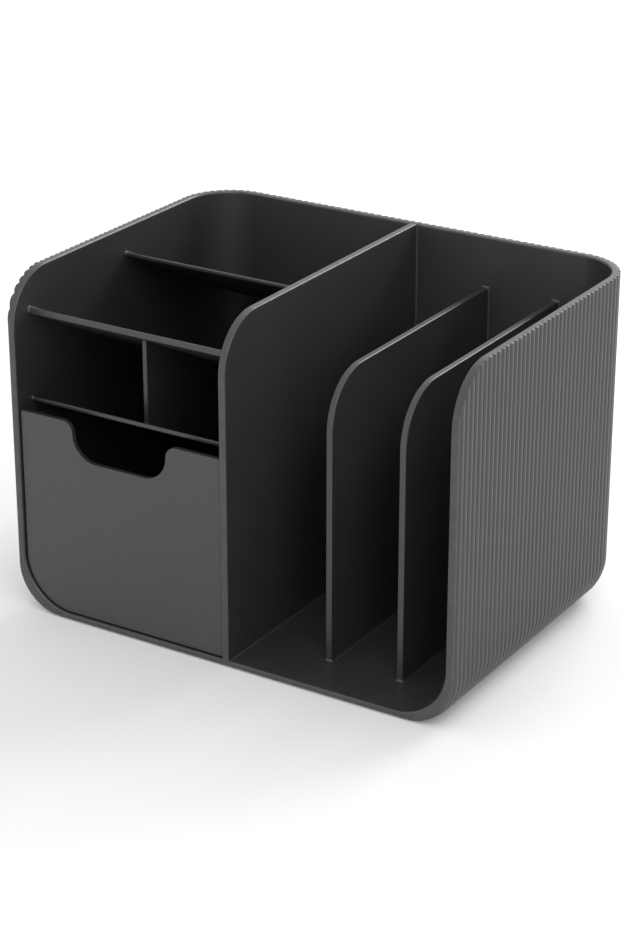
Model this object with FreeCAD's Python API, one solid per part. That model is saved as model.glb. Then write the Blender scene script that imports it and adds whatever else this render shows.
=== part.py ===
import FreeCAD, Part
import math
import os

# Desk organiser with one drawer. Millimetres, +X right, +Y back, +Z up.
# The origin is on the surface it stands on, under the middle of its outline.

# ---- Overall sizes -------------------------------------------------------
width = 255.2                    # over the crests of the ribs
depth = 183.9                    # front edge to the crests at the back
body_height = 178.6              # underside of the shell to its rim

# ---- Shell ---------------------------------------------------------------
wall = 4.5                       # rib crest to inner face
floor_thickness = 2.6
front_top_radius = 28.0          # sides and centre divider, seen from the side
lower_outer_radius = 25.4        # lower edges at the sides and the back, outside
lower_inner_radius = 28.0        # lower edges at the sides and the back, inside
bottom_trim = 1.1                # the flat underside cuts this much off those edges
rear_outer_radius = 29.0         # upright rear corners, outside

# ---- Ribs ----------------------------------------------------------------
rib_pitch = 4.14
rib_depth = 1.2
rib_start = 2.2                  # front edge to the first groove
front_nose = 1.6                 # rounded outer front edge, measured across the wall
nose_bulge = 0.4                 # height of that rounding for each unit of its length

# ---- Dividers ------------------------------------------------------------
centre_divider_thickness = 3.9
short_divider_thickness = 3.5
short_divider_centres = (43.2, 83.5)
short_divider_setback = 26.7
short_divider_drop = 27.1        # rim to the top of a short divider
cell_divider_thickness = 2.6
cell_divider_setback = 25.4
divider_edge_radius = 0.6

# ---- Sloping floors of the left bay ----------------------------------------
floor_slope = 27.2               # degrees, falling to the back
lower_floor_setback = 12.0
lower_floor_drop = 65.8          # rim to the top of its front edge
middle_floor_setback = 12.3
middle_floor_drop = 18.6
rear_floor_setback = 94.2
rear_floor_drop = 13.0
lower_floor_edge = 2.5           # upright height of a front edge
middle_floor_edge = 3.4
rear_floor_edge = 2.3
floor_nose_radius = 0.7
corner_relief = 0.5              # keeps a floor's rear corner off the curved wall

# ---- Drawer ----------------------------------------------------------------
drawer_drop = 4.2                # front edge of the lower floor to the drawer's top
drawer_setback = 1.6
drawer_front_thickness = 2.8
drawer_side_gap = 0.8
drawer_bottom_gap = 0.5
drawer_corner_radius = 0.8
notch_width = 56.0
notch_depth = 19.8
notch_shoulder_radius = 6.2
notch_corner_radius = 13.4
tray_wall = 1.8
tray_inset = 1.2                 # tray side behind the edge of the drawer front
tray_back_gap = 6.5              # tray to the shell's back wall
tray_rim_drop = 5.0              # top of the drawer front to the tray's rim
tray_top_clearance = 2.0         # under the lower sloping floor
tray_corner_radius = 3.0
drawer_travel = 115.0

# ---- Runners and stop --------------------------------------------------------
runner_height = 2.0
runner_width = 5.0
runner_inset = 9.0               # flat part of the bay's floor to a runner
runner_front_gap = 8.0
slide_clearance = 0.3
stop_side_gap = 4.0              # left runner to the stop
stop_length = 4.0
lip_length = 2.0
lip_floor_gap = 0.4

# ---- Feet --------------------------------------------------------------------
foot_proud = 1.0
foot_recess = 0.8
foot_diameter = 12.0
foot_side_inset = 36.0
foot_end_inset = 30.0
foot_fit = 0.15

# ---- Places that follow from the sizes ------------------------------------------
right = width / 2
front = -depth / 2
back = depth / 2
underside = foot_proud
rim = underside + body_height
inner_right = right - wall
inner_back = back - wall
floor_top = underside + floor_thickness
rear_inner_radius = rear_outer_radius - wall
lower_axis_z = underside - bottom_trim + lower_outer_radius
divider_face = centre_divider_thickness / 2
bay_middle = -(inner_right + divider_face) / 2
slope = math.tan(math.radians(floor_slope))
beyond = 20.0                    # how far a cutting tool reaches past what it cuts
round_share = 1 / 3              # the most of a thin edge that one rounding may take
both_share = 0.99                # the most of an edge that the roundings at its two ends may take
same_place = 0.001               # two places closer than this are one


# ---- Drawing helpers ----------------------------------------------------------
def front_view(u, v, at):
    return FreeCAD.Vector(u, at, v)


def side_view(u, v, at):
    return FreeCAD.Vector(at, u, v)


def plan_view(u, v, at):
    return FreeCAD.Vector(u, v, at)


def rounded_wire(corners, view, at):
    """A closed wire through (u, v, radius) corners, with an arc at each radius above zero."""
    count = len(corners)
    joints = []
    for i in range(count):
        u, v, radius = corners[i]
        before = FreeCAD.Vector(corners[i - 1][0] - u, corners[i - 1][1] - v, 0)
        after = FreeCAD.Vector(corners[(i + 1) % count][0] - u, corners[(i + 1) % count][1] - v, 0)
        here = FreeCAD.Vector(u, v, 0)
        if radius <= 0:
            joints.append((here, None, here))
            continue
        before.normalize()
        after.normalize()
        half = before.getAngle(after) / 2
        reach = radius / math.tan(half)
        bisector = before + after
        bisector.normalize()
        middle = here + bisector * (radius / math.sin(half) - radius)
        joints.append((here + before * reach, middle, here + after * reach))
    edges = []
    for i in range(count):
        start, middle, end = [view(p.x, p.y, at) if p else None for p in joints[i]]
        following = joints[(i + 1) % count][0]
        if middle:
            edges.append(Part.Arc(start, middle, end).toShape())
        edges.append(Part.makeLine(end, view(following.x, following.y, at)))
    return Part.Wire(edges)


def prism(corners, view, start, end):
    """The rounded outline, carried from start to end along the normal of its view."""
    face = Part.Face(rounded_wire(corners, view, start))
    return face.extrude(view(0, 0, end) - view(0, 0, start))


def fitted(radii, length):
    """The radii at the two ends of an edge, made smaller together where they don't fit on it."""
    share = min(1, length * both_share / sum(radii))
    return [radius * share for radius in radii]


def rounded_edges(solid, radius, chosen):
    """Rounds the edges whose middle passes the chosen test."""
    picked = []
    for edge in solid.Edges:
        if chosen(edge.CenterOfMass):
            picked.append(edge)
    return solid.makeFillet(radius, picked)


# ---- Ribs ------------------------------------------------------------------------
def rib_count(length):
    return max(1, round(length / rib_pitch))


side_length = depth - rear_outer_radius - rib_start
side_ribs = rib_count(side_length)
side_pitch = side_length / side_ribs


def side_groove(k):
    """Y of groove k on a side wall, counted from the front."""
    return front + rib_start + k * side_pitch


def side_rib_points():
    """Points along the right wall from front to back: a groove, a crest, a groove, and so on."""
    start = right - front_nose
    end = right - rib_depth
    bulge = min(rib_start * nose_bulge, (front_nose + rib_depth) / 2)
    points = [(start, front), ((start + end) / 2 + bulge, (front + side_groove(0)) / 2), (end, side_groove(0))]
    for k in range(side_ribs):
        points.append((right, side_groove(k + 0.5)))
        points.append((end, side_groove(k + 1)))
    return points


def corner_rib_points():
    """Points round the right rear corner, after the last groove of the side wall."""
    count = rib_count(rear_outer_radius * math.pi / 2)
    points = []
    for k in range(1, 2 * count + 1):
        angle = math.pi / 2 * k / (2 * count)
        radius = rear_outer_radius - (rib_depth if k % 2 == 0 else 0)
        points.append((right - rear_outer_radius + radius * math.cos(angle),
                       back - rear_outer_radius + radius * math.sin(angle)))
    return points


def back_rib_points():
    """Points along the back wall from right to left, after the right corner."""
    length = width - 2 * rear_outer_radius
    count = rib_count(length)
    points = []
    for k in range(1, 2 * count + 1):
        points.append((length / 2 - length * k / (2 * count), back - (rib_depth if k % 2 == 0 else 0)))
    return points


def mirrored(points):
    return [(-x, y) for x, y in reversed(points)]


def rib_arcs(points, z):
    """An arc for every rib, from groove to groove over its crest, with the first and last point."""
    vectors = [FreeCAD.Vector(x, y, z) for x, y in points]
    edges = []
    for i in range(0, len(vectors) - 2, 2):
        edges.append(Part.Arc(vectors[i], vectors[i + 1], vectors[i + 2]).toShape())
    return edges, vectors[0], vectors[-1]


def ribbed_outline():
    """The shell's outer outline in plan: an arc for every rib, and a straight front."""
    half = side_rib_points() + corner_rib_points()
    edges, first, last = rib_arcs(half + back_rib_points()[:-1] + mirrored(half), underside)
    edges.append(Part.makeLine(last, first))
    return Part.Wire(edges)


def lower_edge_tool(points, outward, axis_point, lead=0.0):
    """What lies outside a lower edge where a run of ribs curves under the shell."""
    along = FreeCAD.Vector(0, 0, 1).cross(outward)
    edges, first, last = rib_arcs(points, lower_axis_z)
    start = first - along * lead
    corners = [last, last + outward * beyond, start + outward * beyond, start]
    if lead > 0:
        corners.append(first)
    for near, far in zip(corners, corners[1:]):
        edges.append(Part.makeLine(near, far))
    return Part.Face(Part.Wire(edges)).revolve(axis_point, along, 90)


def corner_tools():
    """The lower edge round the right rear corner, rib by rib, each in its own wedge."""
    centre = FreeCAD.Vector(right - rear_outer_radius, back - rear_outer_radius, lower_axis_z)
    points = side_rib_points()[-1:] + corner_rib_points()
    tools = []
    for k in range(0, len(points) - 2, 2):
        outward = FreeCAD.Vector(points[k + 1][0], points[k + 1][1], lower_axis_z) - centre
        outward.normalize()
        axis_point = centre + outward * (rear_outer_radius - lower_outer_radius)
        tool = lower_edge_tool(points[k:k + 3], outward, axis_point)
        wedge = [(centre.x, centre.y, 0)]
        for x, y in (points[k], points[k + 2]):
            wedge.append((centre.x + 2 * (x - centre.x), centre.y + 2 * (y - centre.y), 0))
        tools.append(tool.common(prism(wedge, plan_view, underside - beyond, lower_axis_z)))
    return tools


def lower_edge_tools():
    """All of the lower edge at the sides, the rear corners and the back."""
    side_axis = FreeCAD.Vector(right - lower_outer_radius, 0, lower_axis_z)
    side = lower_edge_tool(side_rib_points(), FreeCAD.Vector(1, 0, 0), side_axis, beyond)
    tools = [side] + corner_tools()
    for tool in list(tools):
        tools.append(tool.mirror(FreeCAD.Vector(0, 0, 0), FreeCAD.Vector(1, 0, 0)))
    back_axis = FreeCAD.Vector(0, back - lower_outer_radius, lower_axis_z)
    run = corner_rib_points()[-1:] + back_rib_points()
    tools.append(lower_edge_tool(run, FreeCAD.Vector(0, 1, 0), back_axis))
    return tools


# ---- Shell --------------------------------------------------------------------------
def side_outline(start, end, bottom, top, radius):
    """A wall seen from the side, rounded at its front top corner."""
    return [(start, bottom, 0), (end, bottom, 0), (end, top, 0), (start, top, radius)]


def corner_waste(x, y, plan_radius, low_radius, bottom):
    """What a right rear corner leaves out where its upright rounding runs into the lower ones."""
    top = bottom + low_radius
    section = Part.Face(rounded_wire([(-low_radius, bottom, 0), (plan_radius, bottom, low_radius),
                                      (plan_radius, top + beyond, 0), (-low_radius, top + beyond, 0)],
                                     front_view, 0))
    half = section.common(Part.makeBox(plan_radius + beyond, 2 * beyond, low_radius + 3 * beyond,
                                       FreeCAD.Vector(0, -beyond, bottom - beyond)))
    bowl = half.revolve(FreeCAD.Vector(0, 0, 0), FreeCAD.Vector(0, 0, 1), 360)
    bowl.translate(FreeCAD.Vector(x, y, 0))
    quarter = Part.makeBox(plan_radius + beyond, plan_radius + beyond, low_radius + beyond,
                           FreeCAD.Vector(x, y, bottom - beyond))
    return quarter.cut(bowl)


def interior(relief=0.0):
    """The room inside the shell, open at the front and the top."""
    radius = rear_inner_radius + relief
    low_radius = lower_inner_radius
    plan = [(-inner_right, front - beyond, 0), (inner_right, front - beyond, 0),
            (inner_right, inner_back, radius), (-inner_right, inner_back, radius)]
    across = [(-inner_right, floor_top, low_radius), (inner_right, floor_top, low_radius),
              (inner_right, rim + beyond, 0), (-inner_right, rim + beyond, 0)]
    along = [(front - beyond, floor_top, 0), (inner_back, floor_top, low_radius),
             (inner_back, rim + beyond, 0), (front - beyond, rim + beyond, 0)]
    room = prism(plan, plan_view, floor_top - beyond, rim + beyond)
    room = room.common(prism(across, front_view, front - beyond, back + beyond))
    room = room.common(prism(along, side_view, -right - beyond, right + beyond))
    waste = corner_waste(inner_right - radius, inner_back - radius, radius, low_radius, floor_top)
    return room.cut(waste).cut(waste.mirror(FreeCAD.Vector(0, 0, 0), FreeCAD.Vector(1, 0, 0)))


def foot_places():
    places = {}
    for x_name, x in (("left", -right + foot_side_inset), ("right", right - foot_side_inset)):
        for y_name, y in (("front", front + foot_end_inset), ("rear", back - foot_end_inset)):
            places["foot_" + y_name + "_" + x_name] = (x, y)
    return places


def disc(x, y, bottom, top, radius):
    return Part.makeCylinder(radius, top - bottom, FreeCAD.Vector(x, y, bottom))


def ribbed_shell():
    outer = Part.Face(ribbed_outline()).extrude(FreeCAD.Vector(0, 0, body_height))
    outer = outer.cut(lower_edge_tools())
    wall_shape = side_outline(front, back + beyond, underside - beyond, rim, front_top_radius)
    outer = outer.common(prism(wall_shape, side_view, -right - beyond, right + beyond))
    shell = outer.cut(interior())
    for x, y in foot_places().values():
        pocket = disc(x, y, underside - beyond, underside + foot_recess, foot_diameter / 2 + foot_fit)
        shell = shell.cut(pocket)
    return shell


# ---- Dividers -------------------------------------------------------------------------
def upright_divider(centre, thickness, start, top):
    """A wall from the floor to top that stands across the shell, rounded where hands reach it."""
    shape = [(start, floor_top, 0), (inner_back, floor_top, lower_inner_radius),
             (inner_back, top, 0), (start, top, front_top_radius)]
    solid = prism(shape, side_view, centre - thickness / 2, centre + thickness / 2)
    radius = min(divider_edge_radius, thickness * round_share)

    def on_free_edge(middle):
        on_a_side = abs(middle.x - centre) > thickness / 2 - same_place
        on_the_shell = middle.y > inner_back - radius or middle.z < floor_top + radius
        by_the_curve = middle.y > inner_back - lower_inner_radius and middle.z < floor_top + lower_inner_radius
        return on_a_side and not on_the_shell and not by_the_curve

    return rounded_edges(solid, radius, on_free_edge)


def floor_line(setback, drop, y):
    """Height of a sloping floor's upper face at y."""
    return rim - drop - (y - front - setback) * slope


def cell_divider():
    """The upright plate between the two small cells, from one sloping floor to the next."""
    start = front + cell_divider_setback
    corners = []
    for y in (start, inner_back):
        corners.append((y, floor_line(lower_floor_setback, lower_floor_drop, y), 0))
    for y in (inner_back, start):
        top = floor_line(middle_floor_setback, middle_floor_drop + middle_floor_edge, y)
        corners.append((y, top, 0))
    half = cell_divider_thickness / 2
    return prism(corners, side_view, bay_middle - half, bay_middle + half).common(interior())


# ---- Sloping floors ---------------------------------------------------------------------
def sloping_floor(setback, drop, edge):
    """A plate that falls from its front edge to the back wall, across the left bay."""
    start = front + setback
    nose = min(floor_nose_radius, edge * round_share)
    corners = [(start, rim - drop - edge, nose),
               (inner_back, floor_line(setback, drop + edge, inner_back), 0),
               (inner_back, floor_line(setback, drop, inner_back), 0),
               (start, rim - drop, nose)]
    plate = prism(corners, side_view, -right, -divider_face)
    return plate.common(interior(corner_relief))


# ---- Drawer ---------------------------------------------------------------------------------
drawer_left = -inner_right + drawer_side_gap
drawer_right = -divider_face - drawer_side_gap
drawer_middle = (drawer_left + drawer_right) / 2
drawer_bottom = floor_top + drawer_bottom_gap
drawer_top = rim - lower_floor_drop - drawer_drop
panel_face = front + drawer_setback
panel_back = panel_face + drawer_front_thickness
tray_bottom = floor_top + runner_height + slide_clearance
tray_back = inner_back - tray_back_gap
tray_left = drawer_left + tray_inset
tray_right = drawer_right - tray_inset
tray_shell_gap = drawer_side_gap + tray_inset
tray_low_radius = lower_inner_radius - tray_shell_gap
tray_flat_end = tray_back - tray_low_radius
runner_left = -inner_right + lower_inner_radius + runner_inset
runner_right = -divider_face - runner_inset
stop_half_width = drawer_middle - runner_left - runner_width / 2 - stop_side_gap


def drawer_front():
    """The panel in front of the tray, with a finger notch in its upper edge."""
    corner = drawer_corner_radius
    half = notch_width / 2
    shoulder, foot = fitted([notch_shoulder_radius, notch_corner_radius], notch_depth)
    notch = [(half, drawer_top, shoulder), (half, drawer_top - notch_depth, foot)]
    outline = [(drawer_left, drawer_bottom, lower_inner_radius - drawer_side_gap),
               (drawer_right, drawer_bottom, corner),
               (drawer_right, drawer_top, corner)]
    for u, v, radius in notch:
        outline.append((drawer_middle + u, v, radius))
    for u, v, radius in reversed(notch):
        outline.append((drawer_middle - u, v, radius))
    outline.append((drawer_left, drawer_top, corner))
    return prism(outline, front_view, panel_face, panel_back)


def tray_form(inset, start):
    """The tray as a solid block from start to its back, inset by a wall or by nothing."""
    left = tray_left + inset
    end = tray_right - inset
    rear = tray_back - inset
    bottom = tray_bottom + inset
    low_radius = tray_low_radius - inset
    plan_radius = rear_inner_radius - tray_shell_gap - inset
    across = [(left, bottom, low_radius), (end, bottom, max(tray_corner_radius - inset, 0)),
              (end, rim, 0), (left, rim, 0)]
    along = [(start, bottom, 0), (rear, bottom, low_radius), (rear, rim, 0), (start, rim, 0)]
    plan = [(left, start, 0), (end, start, 0), (end, rear, 0), (left, rear, plan_radius)]
    block = prism(across, front_view, start, rear)
    block = block.common(prism(along, side_view, -right, right))
    block = block.common(prism(plan, plan_view, tray_bottom - beyond, rim + beyond))
    waste = corner_waste(-left - plan_radius, rear - plan_radius, plan_radius, low_radius, bottom)
    return block.cut(waste.mirror(FreeCAD.Vector(0, 0, 0), FreeCAD.Vector(1, 0, 0)))


def drawer_tray():
    """Bottom, sides and back of the drawer, with a lip that meets the stop in the shell."""
    walls = tray_form(0, panel_back).cut(tray_form(tray_wall, panel_back - beyond))
    rim_height = drawer_top - tray_rim_drop
    under_floor = floor_line(lower_floor_setback, lower_floor_drop + lower_floor_edge + tray_top_clearance, 0)
    meeting = (under_floor - rim_height) / slope
    rear_height = under_floor - tray_back * slope
    profile = [(panel_back, tray_bottom, 0), (tray_back, tray_bottom, 0),
               (tray_back, rear_height, 0), (meeting, rim_height, 0), (panel_back, rim_height, 0)]
    tray = walls.common(prism(profile, side_view, -right, right))
    lip_bottom = floor_top + lip_floor_gap
    lip = Part.makeBox(2 * stop_half_width, lip_length, tray_bottom + tray_wall - lip_bottom,
                       FreeCAD.Vector(drawer_middle - stop_half_width, tray_flat_end - lip_length, lip_bottom))
    return tray.fuse(lip).removeSplitter()


# ---- Runners and stop ---------------------------------------------------------------------
def runner(x):
    """A low rail on the floor of the shell that carries the tray."""
    start = front + runner_front_gap
    return Part.makeBox(runner_width, tray_flat_end - start, runner_height,
                        FreeCAD.Vector(x - runner_width / 2, start, floor_top))


def drawer_stop():
    """A low block that the tray's lip meets when the drawer is fully out."""
    rear = tray_flat_end - lip_length - drawer_travel - slide_clearance
    return Part.makeBox(2 * stop_half_width, stop_length, runner_height - lip_floor_gap + slide_clearance,
                        FreeCAD.Vector(drawer_middle - stop_half_width, rear - stop_length, floor_top))


# ---- The whole part ----------------------------------------------------------------------------
def pieces():
    made = {"ribbed_shell": ribbed_shell()}
    made["centre_divider"] = upright_divider(0, centre_divider_thickness, front, rim)
    for name, centre in zip(("inner_file_divider", "outer_file_divider"), short_divider_centres):
        made[name] = upright_divider(centre, short_divider_thickness, front + short_divider_setback,
                                     rim - short_divider_drop)
    made["lower_sloping_floor"] = sloping_floor(lower_floor_setback, lower_floor_drop, lower_floor_edge)
    made["middle_sloping_floor"] = sloping_floor(middle_floor_setback, middle_floor_drop, middle_floor_edge)
    made["rear_sloping_floor"] = sloping_floor(rear_floor_setback, rear_floor_drop, rear_floor_edge)
    made["cell_divider"] = cell_divider()
    made["drawer_front"] = drawer_front()
    made["drawer_tray"] = drawer_tray()
    made["drawer_runner_left"] = runner(runner_left)
    made["drawer_runner_right"] = runner(runner_right)
    made["drawer_stop"] = drawer_stop()
    for name, (x, y) in foot_places().items():
        made[name] = disc(x, y, 0, foot_proud + foot_recess, foot_diameter / 2)
    return made


os.makedirs("parts", exist_ok=True)
for name, shape in pieces().items():
    if len(shape.Solids) != 1 or not shape.isValid():
        print("CHECK", name, len(shape.Solids), "solids, valid:", shape.isValid())
    shape = shape.Solids[0] if len(shape.Solids) == 1 else shape
    shape.exportStep("parts/" + name + ".step")
    box = shape.BoundBox
    print(name, round(shape.Volume / 1000, 2), "cm3",
          [round(v, 1) for v in (box.XMin, box.XMax, box.YMin, box.YMax, box.ZMin, box.ZMax)])
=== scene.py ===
# %% [markdown]
# # A desk organiser with a drawer
# The object is one moulded body of dark grey plastic. Fine upright ribs run round its sides and
# back. A tall divider splits it in two: file slots on the right, and on the left three sloping
# floors over a drawer. The construction is already there as solid nodes at their real size. This
# lesson gives each of them the surface that a moulded part has: soft edges, small fillets where
# walls meet, a fine grain, and light that shows them.

import math

import bmesh
import bpy
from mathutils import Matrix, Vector


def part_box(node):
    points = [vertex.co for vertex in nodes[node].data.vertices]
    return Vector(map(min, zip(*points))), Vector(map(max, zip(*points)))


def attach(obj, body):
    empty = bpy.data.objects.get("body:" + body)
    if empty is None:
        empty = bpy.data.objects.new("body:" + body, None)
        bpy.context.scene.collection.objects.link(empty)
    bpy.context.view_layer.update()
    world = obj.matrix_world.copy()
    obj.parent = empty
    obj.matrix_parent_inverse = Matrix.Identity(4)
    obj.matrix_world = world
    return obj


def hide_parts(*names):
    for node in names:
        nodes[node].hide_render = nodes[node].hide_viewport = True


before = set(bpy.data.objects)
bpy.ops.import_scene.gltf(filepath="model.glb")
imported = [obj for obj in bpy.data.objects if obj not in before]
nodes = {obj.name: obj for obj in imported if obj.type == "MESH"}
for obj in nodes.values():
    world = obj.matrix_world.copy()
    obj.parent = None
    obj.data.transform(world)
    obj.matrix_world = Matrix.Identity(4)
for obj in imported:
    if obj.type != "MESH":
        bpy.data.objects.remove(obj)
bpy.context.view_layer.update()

# %% [markdown]
# ## Places
# Every length is in metres, so a millimetre is a named value. The places that the new pieces need
# are read from the boxes of the nodes that carry them. A place that is read follows its node,
# where one that is typed in would have to be fitted by eye.

# %% Places read from the nodes
MM = 0.001
HOUSING = "housing"
DRAWER = "drawer"

shell_low, shell_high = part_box("ribbed_shell")
front = shell_low.y
rim = shell_high.z
floor_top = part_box("centre_divider")[0].z
inner_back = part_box("centre_divider")[1].y
inner_right = -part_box("middle_sloping_floor")[0].x
for title, place in (("front", front), ("inner back", inner_back), ("inner right", inner_right),
                     ("floor", floor_top), ("rim", rim)):
    print(title, round(place / MM, 2), "mm")

# %% [markdown]
# ## The camera
# A long lens from the front right, a little above the rim, is how such a product is usually shown:
# it keeps upright edges nearly parallel. The camera is placed by its two angles and its distance
# from the point that it looks at. The same two helpers later place the lamps.

# %% Camera
AIM = Vector((-11.5, 5.4, 69.9)) * MM     # near the middle of the object
CAMERA_TURN = math.radians(32.09)
CAMERA_RISE = math.radians(23.21)
CAMERA_DISTANCE = 1295.4 * MM
LENS = 97.5                      # focal length in millimetres, the unit of Blender's lenses


def direction(turn, rise):
    """The way from the object towards something that stands turned to the right and raised."""
    level = math.cos(rise)
    return Vector((math.sin(turn) * level, -math.cos(turn) * level, math.sin(rise)))


def aimed(thing, place, target):
    """Links a lamp or camera at a place, looking at the target."""
    thing.location = place
    thing.rotation_euler = (target - place).to_track_quat("-Z", "Y").to_euler()
    bpy.context.scene.collection.objects.link(thing)


lens_data = bpy.data.cameras.new("camera")
lens_data.lens = LENS
camera = bpy.data.objects.new("camera", lens_data)
aimed(camera, AIM + direction(CAMERA_TURN, CAMERA_RISE) * CAMERA_DISTANCE, AIM)
bpy.context.scene.camera = camera
print("camera at", [round(v, 3) for v in camera.location])

# %% [markdown]
# ## Shader language
# A material is a small program of nodes. Written out by hand it is long and hard to read, so one
# class wraps a socket, and arithmetic on it adds the Math nodes. Any other node comes from one
# method that takes its type, its settings and the values or links of its sockets.

# %% Values that a shader works out


class Value:
    """A number in a shader. Arithmetic on it adds Math nodes."""

    def __init__(self, material, socket):
        self.material = material
        self.socket = socket

    def math(self, operation, first, second):
        """Adds one Math node."""
        node = self.material.node("ShaderNodeMath", {"operation": operation}, {0: first, 1: second})
        return Value(self.material, node.outputs[0])

    def __add__(self, other):
        return self.math("ADD", self, other)

    def __sub__(self, other):
        return self.math("SUBTRACT", self, other)

    def __rsub__(self, other):
        return self.math("SUBTRACT", other, self)

    def __mul__(self, other):
        return self.math("MULTIPLY", self, other)

    __radd__ = __add__

    def step(self, start, end):
        """0 below start, 1 above end, and smooth between them."""
        node = self.material.node(
            "ShaderNodeMapRange", {"interpolation_type": "SMOOTHSTEP"},
            {"Value": self, "From Min": start, "From Max": end, "To Min": 0.0, "To Max": 1.0})
        return Value(self.material, node.outputs["Result"])


print("a shader can add, subtract, multiply and step")

# %% A material
NOISE_DETAIL = 2.0
NOISE_ROUGHNESS = 0.5
NOISE_MIDDLE = 0.5               # the value that a noise has on average


class Material:
    """A material whose nodes are made by one method."""

    def __init__(self, name):
        self.data = bpy.data.materials.new(name)
        self.data.use_nodes = True
        self.tree = self.data.node_tree
        self.shader = self.tree.nodes["Principled BSDF"]

    def node(self, kind, settings=None, sockets=None):
        """Adds a node with its settings, and fills its sockets."""
        made = self.tree.nodes.new(kind)
        for key, value in (settings or {}).items():
            setattr(made, key, value)
        self.fill(made, sockets or {})
        return made

    def fill(self, node, sockets):
        """Gives each named socket a link or a plain value."""
        for key, value in sockets.items():
            if isinstance(value, Value):
                self.tree.links.new(value.socket, node.inputs[key])
            elif isinstance(value, bpy.types.NodeSocket):
                self.tree.links.new(value, node.inputs[key])
            else:
                node.inputs[key].default_value = value

    def noise(self, place, size, detail=NOISE_DETAIL, rough=NOISE_ROUGHNESS):
        """A cloudy pattern whose lumps are about the given size."""
        made = self.node("ShaderNodeTexNoise", {"noise_dimensions": "3D"},
                         {"Vector": place, "Scale": 1 / size, "Detail": detail, "Roughness": rough})
        return Value(self, made.outputs["Fac"])

    def colour(self, red, green, blue):
        """A colour from three numbers that the shader works out."""
        made = self.node("ShaderNodeCombineColor", {}, {"Red": red, "Green": green, "Blue": blue})
        return made.outputs["Color"]


print("a material can add nodes, fill sockets, and make noise and colour")

# %% [markdown]
# ## Moulded plastic
# The plastic is a matt dark grey, coloured all through. Three things keep it from looking like a
# flat swatch: the fine grain that is etched into the mould, slow changes of shade where the melt
# flowed, and edges that are a little paler and smoother because hands and paper rub them. The
# grain is a bump, the rest is colour and roughness. All of it reads Object coordinates, so a
# drawer that slides out takes its grain along.

# %% Grey plastic
GREY = 0.028
BLUE_LEAN = 1.015                # the grey leans a little towards blue
SHEEN_LEVEL = 0.8                # how much a matt moulded face mirrors its bright surroundings
PLASTIC_ROUGHNESS = 0.4
GRAIN_SIZE = 0.35 * MM
GRAIN_DEPTH = 0.03 * MM
GRAIN_STRENGTH = 0.3
GRAIN_DETAIL = 3.0
GRAIN_ROUGHNESS = 0.55
FLOW_SIZE = 45 * MM
FLOW_SHADE = 0.16                # as a share of the grey
FLOW_ROUGHNESS = 0.12
RUB_SIZE = 6 * MM
RUB_SHADE = 0.018
RUB_ROUGHNESS = 0.07
RUB_REACH = 2.5 * MM             # how far from an edge the rubbing fades out
PATCH_START = 0.35               # noise below this is never rubbed
PATCH_END = 0.65                 # noise above this always is
RIM_RUB = 0.7
FRONT_RUB = 0.6
FINE_DETAIL = 4.0


def grained(material, place, size, depth, strength):
    """A bump as fine as the grain of a mould."""
    height = material.noise(place, size, GRAIN_DETAIL, GRAIN_ROUGHNESS)
    bump = material.node("ShaderNodeBump", {},
                         {"Strength": strength, "Distance": depth, "Height": height})
    material.fill(material.shader, {"Normal": bump.outputs["Normal"]})


def near_rim(y, z):
    """Rubbed along the rim and along the front edges."""
    at_rim = z.step(rim - RUB_REACH, rim)
    at_front = (0 - y).step(-front - RUB_REACH, -front)
    return at_rim * RIM_RUB + at_front * FRONT_RUB


def moulded_plastic(name, grey, worn):
    """Matt grey plastic. worn takes the place and gives 1 where the surface is rubbed."""
    material = Material(name)
    place = material.node("ShaderNodeTexCoord").outputs["Object"]
    parts = material.node("ShaderNodeSeparateXYZ", {}, {"Vector": place}).outputs
    y, z = (Value(material, parts[axis]) for axis in "YZ")
    flow = material.noise(place, FLOW_SIZE) - NOISE_MIDDLE
    patches = material.noise(place, RUB_SIZE, FINE_DETAIL).step(PATCH_START, PATCH_END)
    rub = worn(y, z) * patches
    shade = (flow * FLOW_SHADE + 1.0) * grey + rub * RUB_SHADE
    roughness = PLASTIC_ROUGHNESS + flow * FLOW_ROUGHNESS - rub * RUB_ROUGHNESS
    material.fill(material.shader, {"Base Color": material.colour(shade, shade, shade * BLUE_LEAN),
                                    "Roughness": roughness, "Specular IOR Level": SHEEN_LEVEL})
    grained(material, place, GRAIN_SIZE, GRAIN_DEPTH, GRAIN_STRENGTH)
    return material.data


body_plastic = moulded_plastic("moulded_grey_plastic", GREY, near_rim)
print("material", body_plastic.name, len(body_plastic.node_tree.nodes), "nodes")

# %% [markdown]
# ## Rubber
# The feet are soft rubber: nearly black, duller than the plastic, with the cloudy bloom that such
# rubber gets on its skin. One noise gives both the shade and the roughness, because where the
# bloom lies thick it is paler and duller at once. The same grain helper serves, a little coarser.

# %% Foot rubber
RUBBER_SHADE = 0.012
RUBBER_ROUGHNESS = 0.65
RUBBER_GRAIN_SIZE = 0.6 * MM
RUBBER_GRAIN_DEPTH = 0.05 * MM
RUBBER_GRAIN_STRENGTH = 0.4
BLOOM_SIZE = 3 * MM
BLOOM_SHADE = 0.012
BLOOM_ROUGHNESS = 0.2


def soft_rubber(name):
    """Near black, dull rubber with a cloudy bloom."""
    material = Material(name)
    place = material.node("ShaderNodeTexCoord").outputs["Object"]
    bloom = material.noise(place, BLOOM_SIZE, FINE_DETAIL)
    shade = bloom * BLOOM_SHADE + RUBBER_SHADE
    material.fill(material.shader, {"Base Color": material.colour(shade, shade, shade),
                                    "Roughness": bloom * BLOOM_ROUGHNESS + RUBBER_ROUGHNESS})
    grained(material, place, RUBBER_GRAIN_SIZE, RUBBER_GRAIN_DEPTH, RUBBER_GRAIN_STRENGTH)
    return material.data


foot_rubber = soft_rubber("soft_foot_rubber")
print("material", foot_rubber.name, len(foot_rubber.node_tree.nodes), "nodes")

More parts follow.
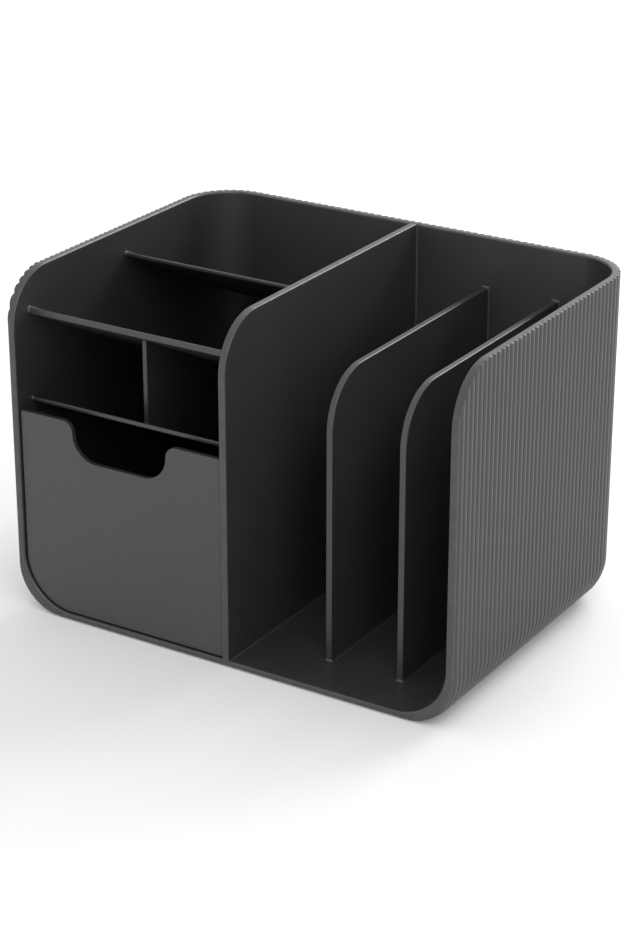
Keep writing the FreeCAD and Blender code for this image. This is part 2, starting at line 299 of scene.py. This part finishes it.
# %% [markdown]
# ## From a solid to a moulded surface
# A node's mesh is loose triangles, so a copy is welded first. Flat faces are then joined into
# single faces, which lets a bevel run along whole edges. A weighted normal keeps the flat faces
# flat next to the small roundings. A bevel modifier could round by angle alone, but here the
# place of an edge decides as well, so the bevel is an operator on a list of edges.

# %% Copy and weld
WELD = 0.004 * MM
FLAT = math.radians(0.5)         # faces that meet flatter than this are joined


def welded(node):
    """A copy of a node's mesh in one skin, with its flat faces joined."""
    bm = bmesh.new()
    bm.from_mesh(nodes[node].data)
    bmesh.ops.remove_doubles(bm, verts=bm.verts, dist=WELD)
    bmesh.ops.dissolve_limit(bm, angle_limit=FLAT, verts=bm.verts, edges=bm.edges)
    return bm


print("welding distance", round(WELD / MM, 4), "mm")

# %% Round chosen edges
CORNER = math.radians(40)        # only an edge sharper than this is rounded
ROUNDING_STEPS = 3
ROUND = 0.5                      # the bevel profile that is a circle's arc


def round_edges(bm, radius, chosen):
    """Rounds the corners whose middle passes the chosen test, and gives their number."""
    picked = []
    for edge in bm.edges:
        if not edge.is_manifold or edge.calc_face_angle() < CORNER:
            continue
        if chosen((edge.verts[0].co + edge.verts[1].co) / 2):
            picked.append(edge)
    bmesh.ops.bevel(bm, geom=picked, affect="EDGES", offset_type="OFFSET", offset=radius,
                    segments=ROUNDING_STEPS, profile=ROUND, material=-1, clamp_overlap=False)
    return len(picked)


print("edges over", round(math.degrees(CORNER)), "degrees can be rounded")

# %% Finish a piece
CREASE = math.radians(32)        # an edge sharper than this is shaded as a crease


def finished(bm, name, body, material, stands_for=()):
    """Turns the mesh into a piece that rides on a body."""
    for face in bm.faces:
        face.smooth = True
    for edge in bm.edges:
        edge.smooth = edge.is_manifold and edge.calc_face_angle() < CREASE
    mesh = bpy.data.meshes.new(name)
    bm.to_mesh(mesh)
    bm.free()
    mesh.materials.append(material)
    piece = bpy.data.objects.new(name, mesh)
    bpy.context.scene.collection.objects.link(piece)
    weighted = piece.modifiers.new("flat faces", "WEIGHTED_NORMAL")
    weighted.keep_sharp = True
    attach(piece, body)
    if stands_for:
        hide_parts(*stands_for)


print("edges over", round(math.degrees(CREASE)), "degrees stay crisp")

# %% [markdown]
# ## The ribbed shell
# On the real moulding no edge is sharp. The rim is rounded towards the inside, where hands
# reach in, and more lightly over the tops of the ribs. The same bevel makes both: only the radius
# and the test that picks the edges differ. The test knows that the room inside has two round
# corners at the back, because a plain box would reach through the walls to the ribs there.

# %% The ribbed shell
INNER_ROUNDING = 1.0 * MM
OUTER_ROUNDING = 0.6 * MM
SLACK = 0.05 * MM                # how near a place has to be to count as on a plane
REAR_RADIUS = 24.5 * MM


def inside_the_walls(middle):
    """Within the room of the housing, whose two rear corners are round."""
    past_side = max(abs(middle.x) - inner_right + REAR_RADIUS, 0)
    past_back = max(middle.y - inner_back + REAR_RADIUS, 0)
    return math.hypot(past_side, past_back) < REAR_RADIUS + SLACK


def on_inner_edge(middle):
    """On the rim, on the front plane, or on the curve that joins the two."""
    at_front = middle.y < front + SLACK and middle.z > floor_top - SLACK
    on_curve = middle.y < 0 and middle.z > rim / 2
    return inside_the_walls(middle) and (middle.z > rim - SLACK or at_front or on_curve)


def on_outer_rim(middle):
    """On the outline of the ribs, where they end at the rim."""
    return middle.z > rim - SLACK and not inside_the_walls(middle)


shell = welded("ribbed_shell")
print("outer rim edges", round_edges(shell, OUTER_ROUNDING, on_outer_rim))
print("inner edges", round_edges(shell, INNER_ROUNDING, on_inner_edge))
finished(shell, "moulded_shell", HOUSING, body_plastic, ["ribbed_shell"])

# %% [markdown]
# ## Dividers and sloping floors
# These pieces are welded copies too. The upright dividers and the sloping floors already have
# their rounded edges, because those are large enough to belong to the construction, so they only
# need smooth shading. The small divider between the cells has sharp edges, and is rounded along
# all but those that meet the back wall.

# %% Dividers and sloping floors
CELL_EDGE = 0.5 * MM


def dressed(node, body, radius=0.0, chosen=None):
    """A welded copy of a node in its place, with the edges rounded that a test chooses."""
    bm = welded(node)
    count = round_edges(bm, radius, chosen) if chosen else 0
    low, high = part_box(node)
    size = [round(v / MM, 1) for v in high - low]
    print(node, "rounded edges:", count, "size", size, "mm")
    finished(bm, node + "_moulded", body, body_plastic, [node])


def before_the_back(middle):
    """Clear of the back wall, which the piece runs into."""
    return middle.y < inner_back - MM


for node in ("centre_divider", "inner_file_divider", "outer_file_divider",
             "lower_sloping_floor", "middle_sloping_floor", "rear_sloping_floor"):
    dressed(node, HOUSING)
dressed("cell_divider", HOUSING, CELL_EDGE, before_the_back)

# %% [markdown]
# ## The drawer
# A finger touches every edge of the drawer's front, so all of them are rounded, those of the
# notch too. The tray behind it gets the same, but for one corner: at its rear left it follows the
# housing's curves in three directions, where a bevel would run over very short edges and fold.
# That corner never leaves the housing, so it stays as it is.

# %% Drawer, runners and stop
PANEL_EDGE = 0.35 * MM
TRAY_EDGE = 0.4 * MM
LOWER_RADIUS = 28 * MM

tray_low, tray_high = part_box("drawer_tray")


def everywhere(middle):
    """Every edge that is sharp enough."""
    return True


def off_the_curved_corner(middle):
    """False at the tray's rear left corner, which curves three ways."""
    return middle.x > tray_low.x + LOWER_RADIUS or middle.y < tray_high.y - LOWER_RADIUS


for node in ("drawer_runner_left", "drawer_runner_right", "drawer_stop"):
    dressed(node, HOUSING, TRAY_EDGE, everywhere)
dressed("drawer_front", DRAWER, PANEL_EDGE, everywhere)
dressed("drawer_tray", DRAWER, TRAY_EDGE, off_the_curved_corner)

# %% [markdown]
# ## Feet
# Four round pads of rubber sit in shallow pockets of the underside. Only the edge that meets the
# desk is rounded, since the upper one is hidden in its pocket. The pads are told from the other
# nodes by the start of their names, so the loop holds for any number of feet.

# %% Feet
FOOT_EDGE = 0.4 * MM


def at_the_ground(middle):
    """On the plane that the organiser stands on."""
    return middle.z < SLACK


for node in nodes:
    if node.startswith("foot_"):
        foot = welded(node)
        print(node, "rounded edges:", round_edges(foot, FOOT_EDGE, at_the_ground))
        finished(foot, node + "_pad", HOUSING, foot_rubber, [node])

# %% [markdown]
# ## Fillets where walls meet
# A mould can't make a sharp inner corner, so each wall runs into the next over a small
# hollow rounding. It shows as a thin line of light along every foot. Each fillet is one profile,
# a corner with a hollow side, that is carried along the joint: straight on with an extrusion, and
# round a corner with a spin. That keeps it closed, and it can follow a rounded corner exactly.

# %% A profile carried along a joint
FILLET = 1.1 * MM
FILLET_STEPS = 4                 # faces across the hollow side
TURN_STEPS = 6                   # rings round a corner
UP = Vector((0, 0, 1))
ACROSS = Vector((1, 0, 0))
BACKWARD = Vector((0, 1, 0))
QUARTER = math.radians(90)


def only(kind, geom):
    """The elements of one kind, out of what a bmesh operator made."""
    return [element for element in geom if isinstance(element, kind)]


class Fillet:
    """A hollow rounding that starts at a corner between two faces and follows the joint."""

    def __init__(self, corner, along_first, along_second):
        self.bm = bmesh.new()
        axis = along_first.cross(along_second)
        centre = corner + (along_first + along_second) * FILLET
        tip = self.bm.verts.new(corner + along_first * FILLET)
        bmesh.ops.spin(self.bm, geom=[tip], cent=centre, axis=axis, angle=-QUARTER,
                       steps=FILLET_STEPS)
        far_tip = corner + along_second * FILLET
        end = min(self.bm.verts, key=lambda vert: (vert.co - far_tip).length)
        root = self.bm.verts.new(corner)
        self.bm.edges.new((root, tip))
        self.bm.edges.new((end, root))
        self.ring = list(self.bm.edges)

    def go(self, step):
        """Carries the profile straight on."""
        made = bmesh.ops.extrude_edge_only(self.bm, edges=self.ring)["geom"]
        bmesh.ops.translate(self.bm, vec=step, verts=only(bmesh.types.BMVert, made))
        return self.ends_with(made)

    def turn(self, centre, axis, angle):
        """Carries the profile round an axis."""
        verts = dict.fromkeys(vert for edge in self.ring for vert in edge.verts)
        made = bmesh.ops.spin(self.bm, geom=self.ring + list(verts), cent=centre, axis=axis,
                              angle=angle, steps=TURN_STEPS)
        return self.ends_with(made["geom_last"])

    def ends_with(self, geom):
        """Takes the open edges of what was made as the profile's new place."""
        self.ring = [edge for edge in only(bmesh.types.BMEdge, geom) if edge.is_boundary]
        return self

    def done(self, name):
        """Closes both ends and makes the piece."""
        bmesh.ops.holes_fill(self.bm, edges=self.bm.edges, sides=0)
        bmesh.ops.remove_doubles(self.bm, verts=self.bm.verts, dist=WELD)
        bmesh.ops.recalc_face_normals(self.bm, faces=self.bm.faces)
        finished(self.bm, name, HOUSING, body_plastic)


print("a fillet's profile has", FILLET_STEPS + 2, "edges")

# %% [markdown]
# ## Fillets of the upright dividers
# A file divider is a plate with rounded edges, so its fillet starts over its rear top corner,
# comes down the back wall, rounds the housing's lower rear corner, runs forward on the floor and
# ends around the divider's front edge. The centre divider reaches the rim and the front, so its
# fillet has neither the start nor the end. One function covers both: it asks how high the node is.

# %% Fillets along the upright dividers
DIVIDER_EDGE = 0.6 * MM
curve_y = inner_back - LOWER_RADIUS
curve_z = floor_top + LOWER_RADIUS


def divider_fillet(node, side):
    """Down a divider's rear edge, along its foot, and round its front if it stands back."""
    low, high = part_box(node)
    face = high.x if side > 0 else low.x
    middle = (low.x + high.x) / 2
    across = ACROSS * side
    edge = DIVIDER_EDGE if high.z < rim - SLACK else 0
    if edge:
        joint = Fillet(Vector((middle, inner_back, high.z)), UP, -BACKWARD)
        shoulder = Vector((face, inner_back, high.z)) - (across + UP) * edge
        joint.go(ACROSS * (shoulder.x - middle)).turn(shoulder, BACKWARD, side * QUARTER)
        top = high.z - edge
    else:
        top = high.z - FILLET
        joint = Fillet(Vector((face, inner_back, top)), across, -BACKWARD)
    joint.go(UP * (curve_z - top)).turn(Vector((face, curve_y, curve_z)), ACROSS, -QUARTER)
    if not edge:
        return joint.go(BACKWARD * (low.y - curve_y))
    corner = Vector((face - side * edge, low.y + edge, floor_top))
    joint.go(BACKWARD * (corner.y - curve_y)).turn(corner, UP, -side * QUARTER)
    return joint.go(ACROSS * (middle - corner.x))


divider_fillet("centre_divider", 1).done("centre_divider_fillet")
for node in ("inner_file_divider", "outer_file_divider"):
    for side, word in ((-1, "left"), (1, "right")):
        divider_fillet(node, side).done(node + "_fillet_" + word)
print("divider fillets done, the lower corner starts at y", round(curve_y / MM, 2), "mm")

# %% [markdown]
# ## Fillets of the sloping floors
# Each sloping floor ends against a wall at both sides. Its fillet goes up the thin front edge,
# over the rounded nose and down the slope. On the left it stops where the housing's rear corner
# starts to curve, since there the wall turns away from the straight joint.

# %% Fillets at the ends of the sloping floors
FLOOR_SLOPE = math.radians(27.2)
FLOOR_NOSE = 0.7 * MM
FLOOR_EDGES = {"lower_sloping_floor": 2.5 * MM, "middle_sloping_floor": 3.4 * MM,
               "rear_sloping_floor": 2.3 * MM}
downhill = Vector((0, math.cos(FLOOR_SLOPE), -math.sin(FLOOR_SLOPE)))
nose_reach = FLOOR_NOSE / math.tan((QUARTER - FLOOR_SLOPE) / 2)


def floor_fillet(node, side):
    """Up a floor's front edge, over its nose and down its slope, against the wall at one end."""
    low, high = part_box(node)
    end = low.x if side < 0 else high.x
    last = inner_back - REAR_RADIUS if side < 0 else inner_back
    centre = Vector((end, low.y + FLOOR_NOSE, high.z - FLOOR_NOSE))
    foot = Vector((end, low.y, high.z + nose_reach - FLOOR_EDGES[node]))
    joint = Fillet(foot, ACROSS * -side, -BACKWARD)
    joint.go(UP * (centre.z - foot.z)).turn(centre, ACROSS, -(QUARTER + FLOOR_SLOPE))
    return joint.go(downhill * ((last - low.y - nose_reach) / math.cos(FLOOR_SLOPE)))


for node in FLOOR_EDGES:
    for side, word in ((-1, "left"), (1, "right")):
        floor_fillet(node, side).done(node + "_fillet_" + word)
print("floor fillets done, the nose reaches back", round(nose_reach / MM, 2), "mm")

# %% [markdown]
# ## The fillet of the small divider
# The divider between the two cells stands on the slope of the lower floor. Its fillet starts at
# the back, runs up the slope along one side, goes round the front edge and back down the other
# side. The turns are about the line that is square to the slope, so the profile stays on it.

# %% Fillet round the foot of the cell divider


def cell_fillet():
    """Round the foot of the small divider, on the lower sloping floor."""
    low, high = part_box("cell_divider")
    floor_low, floor_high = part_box("lower_sloping_floor")
    start = low.y + CELL_EDGE
    fall = (start - floor_low.y) * math.tan(FLOOR_SLOPE)
    level = floor_high.z - FLOOR_NOSE + nose_reach - fall
    left = Vector((low.x + CELL_EDGE, start, level))
    right = Vector((high.x - CELL_EDGE, start, level))
    to_back = downhill * ((inner_back - start) / math.cos(FLOOR_SLOPE))
    upright = ACROSS.cross(downhill)
    joint = Fillet(Vector((low.x, start, level)) + to_back, -ACROSS, upright)
    joint.go(-to_back).turn(left, upright, QUARTER)
    joint.go(right - left).turn(right, upright, QUARTER)
    return joint.go(to_back)


cell_fillet().done("cell_divider_fillet")
print("the small divider's fillet is done")

# %% [markdown]
# ## The studio floor
# A dark product is best seen on a floor that is almost white and fades into the background. The
# floor is one large quad. It adds a little glow to its own colour, but only for what the camera
# sees: a Light Path node tells those rays from the ones that carry light. So the floor looks
# brighter, the shadow stays, and the object gets no extra light from below.

# %% Studio floor
FLOOR_REACH = 6.0
FLOOR_COLOUR = (0.86, 0.86, 0.86, 1.0)
FLOOR_ROUGHNESS = 0.9
FLOOR_SHEEN = 0.1
FLOOR_LIFT = 0.08


def camera_sees(tree):
    """1 for what the camera sees, straight, in a gloss or through glass, and 0 for other light."""
    path = tree.nodes.new("ShaderNodeLightPath")
    total = path.outputs["Is Camera Ray"]
    for other in ("Is Glossy Ray", "Is Transmission Ray"):
        either = tree.nodes.new("ShaderNodeMath")
        either.operation = "MAXIMUM"
        tree.links.new(total, either.inputs[0])
        tree.links.new(path.outputs[other], either.inputs[1])
        total = either.outputs[0]
    return total


def pale_floor(name):
    """A matt, pale surface with a glow that only the camera sees."""
    material = Material(name)
    plain = material.shader.outputs[0]
    material.fill(material.shader, {"Base Color": FLOOR_COLOUR, "Roughness": FLOOR_ROUGHNESS,
                                    "Specular IOR Level": FLOOR_SHEEN})
    glow = material.node("ShaderNodeEmission", {}, {"Strength": FLOOR_LIFT})
    both = material.node("ShaderNodeAddShader", {}, {0: plain, 1: glow.outputs[0]})
    mixed = material.node("ShaderNodeMixShader", {},
                          {0: camera_sees(material.tree), 1: plain, 2: both.outputs[0]})
    material.fill(material.tree.nodes["Material Output"], {"Surface": mixed.outputs[0]})
    return material.data


def studio_floor():
    """One quad that reaches past what the camera sees."""
    bm = bmesh.new()
    bmesh.ops.create_grid(bm, x_segments=1, y_segments=1, size=FLOOR_REACH)
    mesh = bpy.data.meshes.new("studio_floor")
    bm.to_mesh(mesh)
    bm.free()
    mesh.materials.append(pale_floor("pale_floor"))
    floor = bpy.data.objects.new("studio_floor", mesh)
    bpy.context.scene.collection.objects.link(floor)


studio_floor()
print("the floor reaches", FLOOR_REACH, "m each way")

# %% [markdown]
# ## Light and background
# Matt dark plastic shows its form by soft light from large areas. The white surroundings light
# it evenly. One softbox at the front right gives the sides a shade of their own, and a wide one
# behind draws the bright line along the rim. The background is mixed by the same Light Path
# helper, so the camera sees pure white while the object is lit by a dimmer level.

# %% Light and background
WHITE = (1.0, 1.0, 1.0, 1.0)
WORLD_LEVEL = 0.78
SOFTBOX_DISTANCE = 1.6
SOFTBOXES = (                    # name, turn and rise in degrees, width, height, watts
    ("key_softbox", 40, 40, 0.9, 0.9, 6),
    ("rim_softbox", 168, 38, 1.2, 0.5, 15),
)


def studio_world(level):
    """White for the camera, and a dimmer white as the light on the object."""
    world = bpy.data.worlds.new("studio")
    bpy.context.scene.world = world
    world.use_nodes = True
    tree = world.node_tree
    light = tree.nodes["Background"]
    light.inputs["Color"].default_value = WHITE
    light.inputs["Strength"].default_value = level
    seen = tree.nodes.new("ShaderNodeBackground")
    seen.inputs["Color"].default_value = WHITE
    mix = tree.nodes.new("ShaderNodeMixShader")
    tree.links.new(camera_sees(tree), mix.inputs["Fac"])
    tree.links.new(light.outputs[0], mix.inputs[1])
    tree.links.new(seen.outputs[0], mix.inputs[2])
    tree.links.new(mix.outputs[0], tree.nodes["World Output"].inputs["Surface"])


def softbox(name, turn, rise, width, height, watts):
    """A soft rectangular lamp that looks at what the camera looks at."""
    lamp = bpy.data.lights.new(name, "AREA")
    lamp.shape = "RECTANGLE"
    lamp.size = width
    lamp.size_y = height
    lamp.energy = watts
    place = AIM + direction(math.radians(turn), math.radians(rise)) * SOFTBOX_DISTANCE
    aimed(bpy.data.objects.new(name, lamp), place, AIM)


studio_world(WORLD_LEVEL)
for settings in SOFTBOXES:
    softbox(*settings)
bpy.context.scene.view_settings.view_transform = "Standard"
print("lamps", [lamp.name for lamp in bpy.data.lights])
